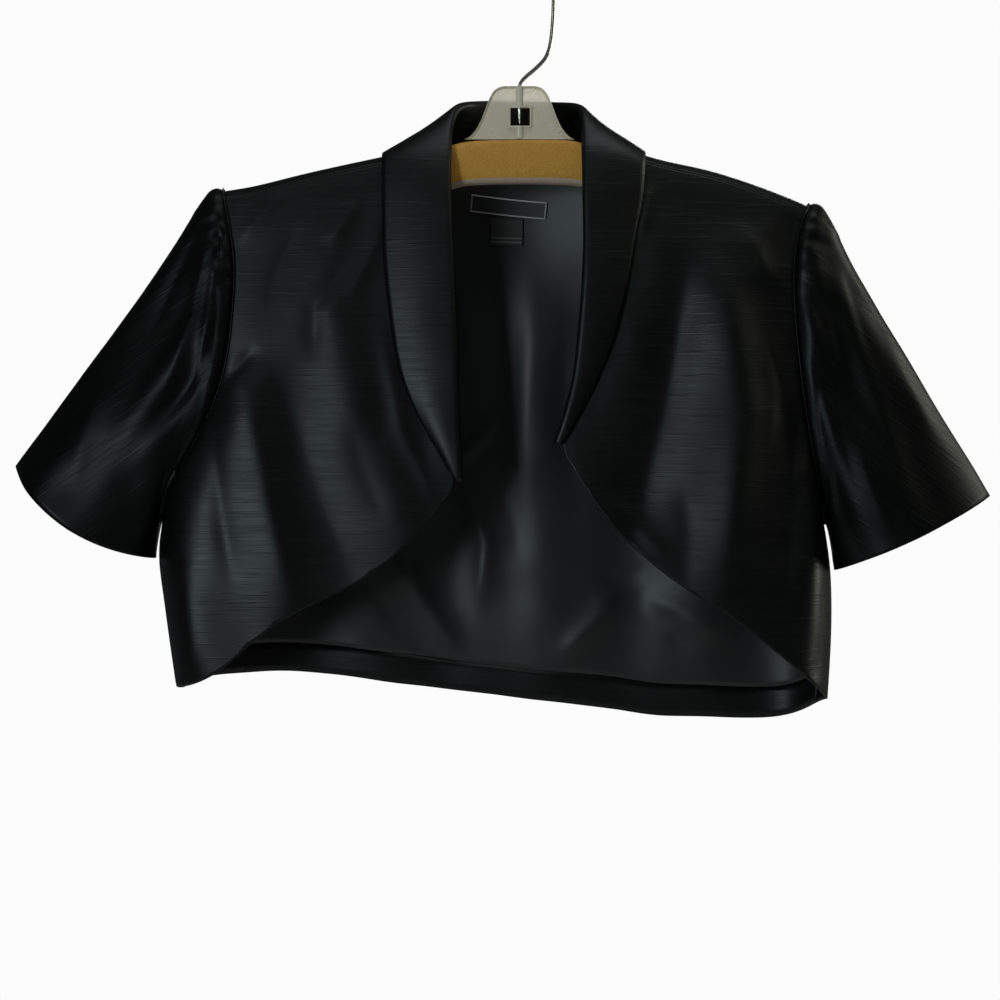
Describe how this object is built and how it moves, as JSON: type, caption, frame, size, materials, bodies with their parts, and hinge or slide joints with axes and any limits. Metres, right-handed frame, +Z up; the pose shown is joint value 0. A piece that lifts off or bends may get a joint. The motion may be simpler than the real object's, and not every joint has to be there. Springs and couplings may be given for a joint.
{
  "type": "bolero jacket on a hanger",
  "caption": "Cropped short-sleeved bolero jacket in black slubbed silk with a shawl collar and open curved front, hung on a padded hanger with a clear neck and steel hook.",
  "frame": {"origin": "inside top of the hook, where a rail holds the hanger", "axes": "+X to the wearer's left, +Y to the back, +Z up"},
  "size_m": [0.7208, 0.1044, 0.5662],
  "materials": {
    "black_shantung": "soft satin sheen with fine crosswise slubs",
    "black_lining": "smooth black satin",
    "woven_label": "woven tape, black with a thin pale border",
    "size_tape": "dark woven tape",
    "tan_foam": "matt tan foam",
    "clear_grey_plastic": "translucent pale grey, glossy",
    "steel_wire": "bright polished wire"
  },
  "bodies": {
    "root": {"back": "black_shantung", "front_right": "black_shantung", "front_left": "black_shantung", "collar": "black_shantung", "sleeve_right": "black_shantung", "sleeve_left": "black_shantung", "hem_facing": "black_shantung", "back_lining": "black_lining", "neck_label": "woven_label", "size_tab": "size_tape", "hanger_cover": "tan_foam", "hanger_neck": "clear_grey_plastic", "hanger_hook": "steel_wire"}
  },
  "joints": []
}
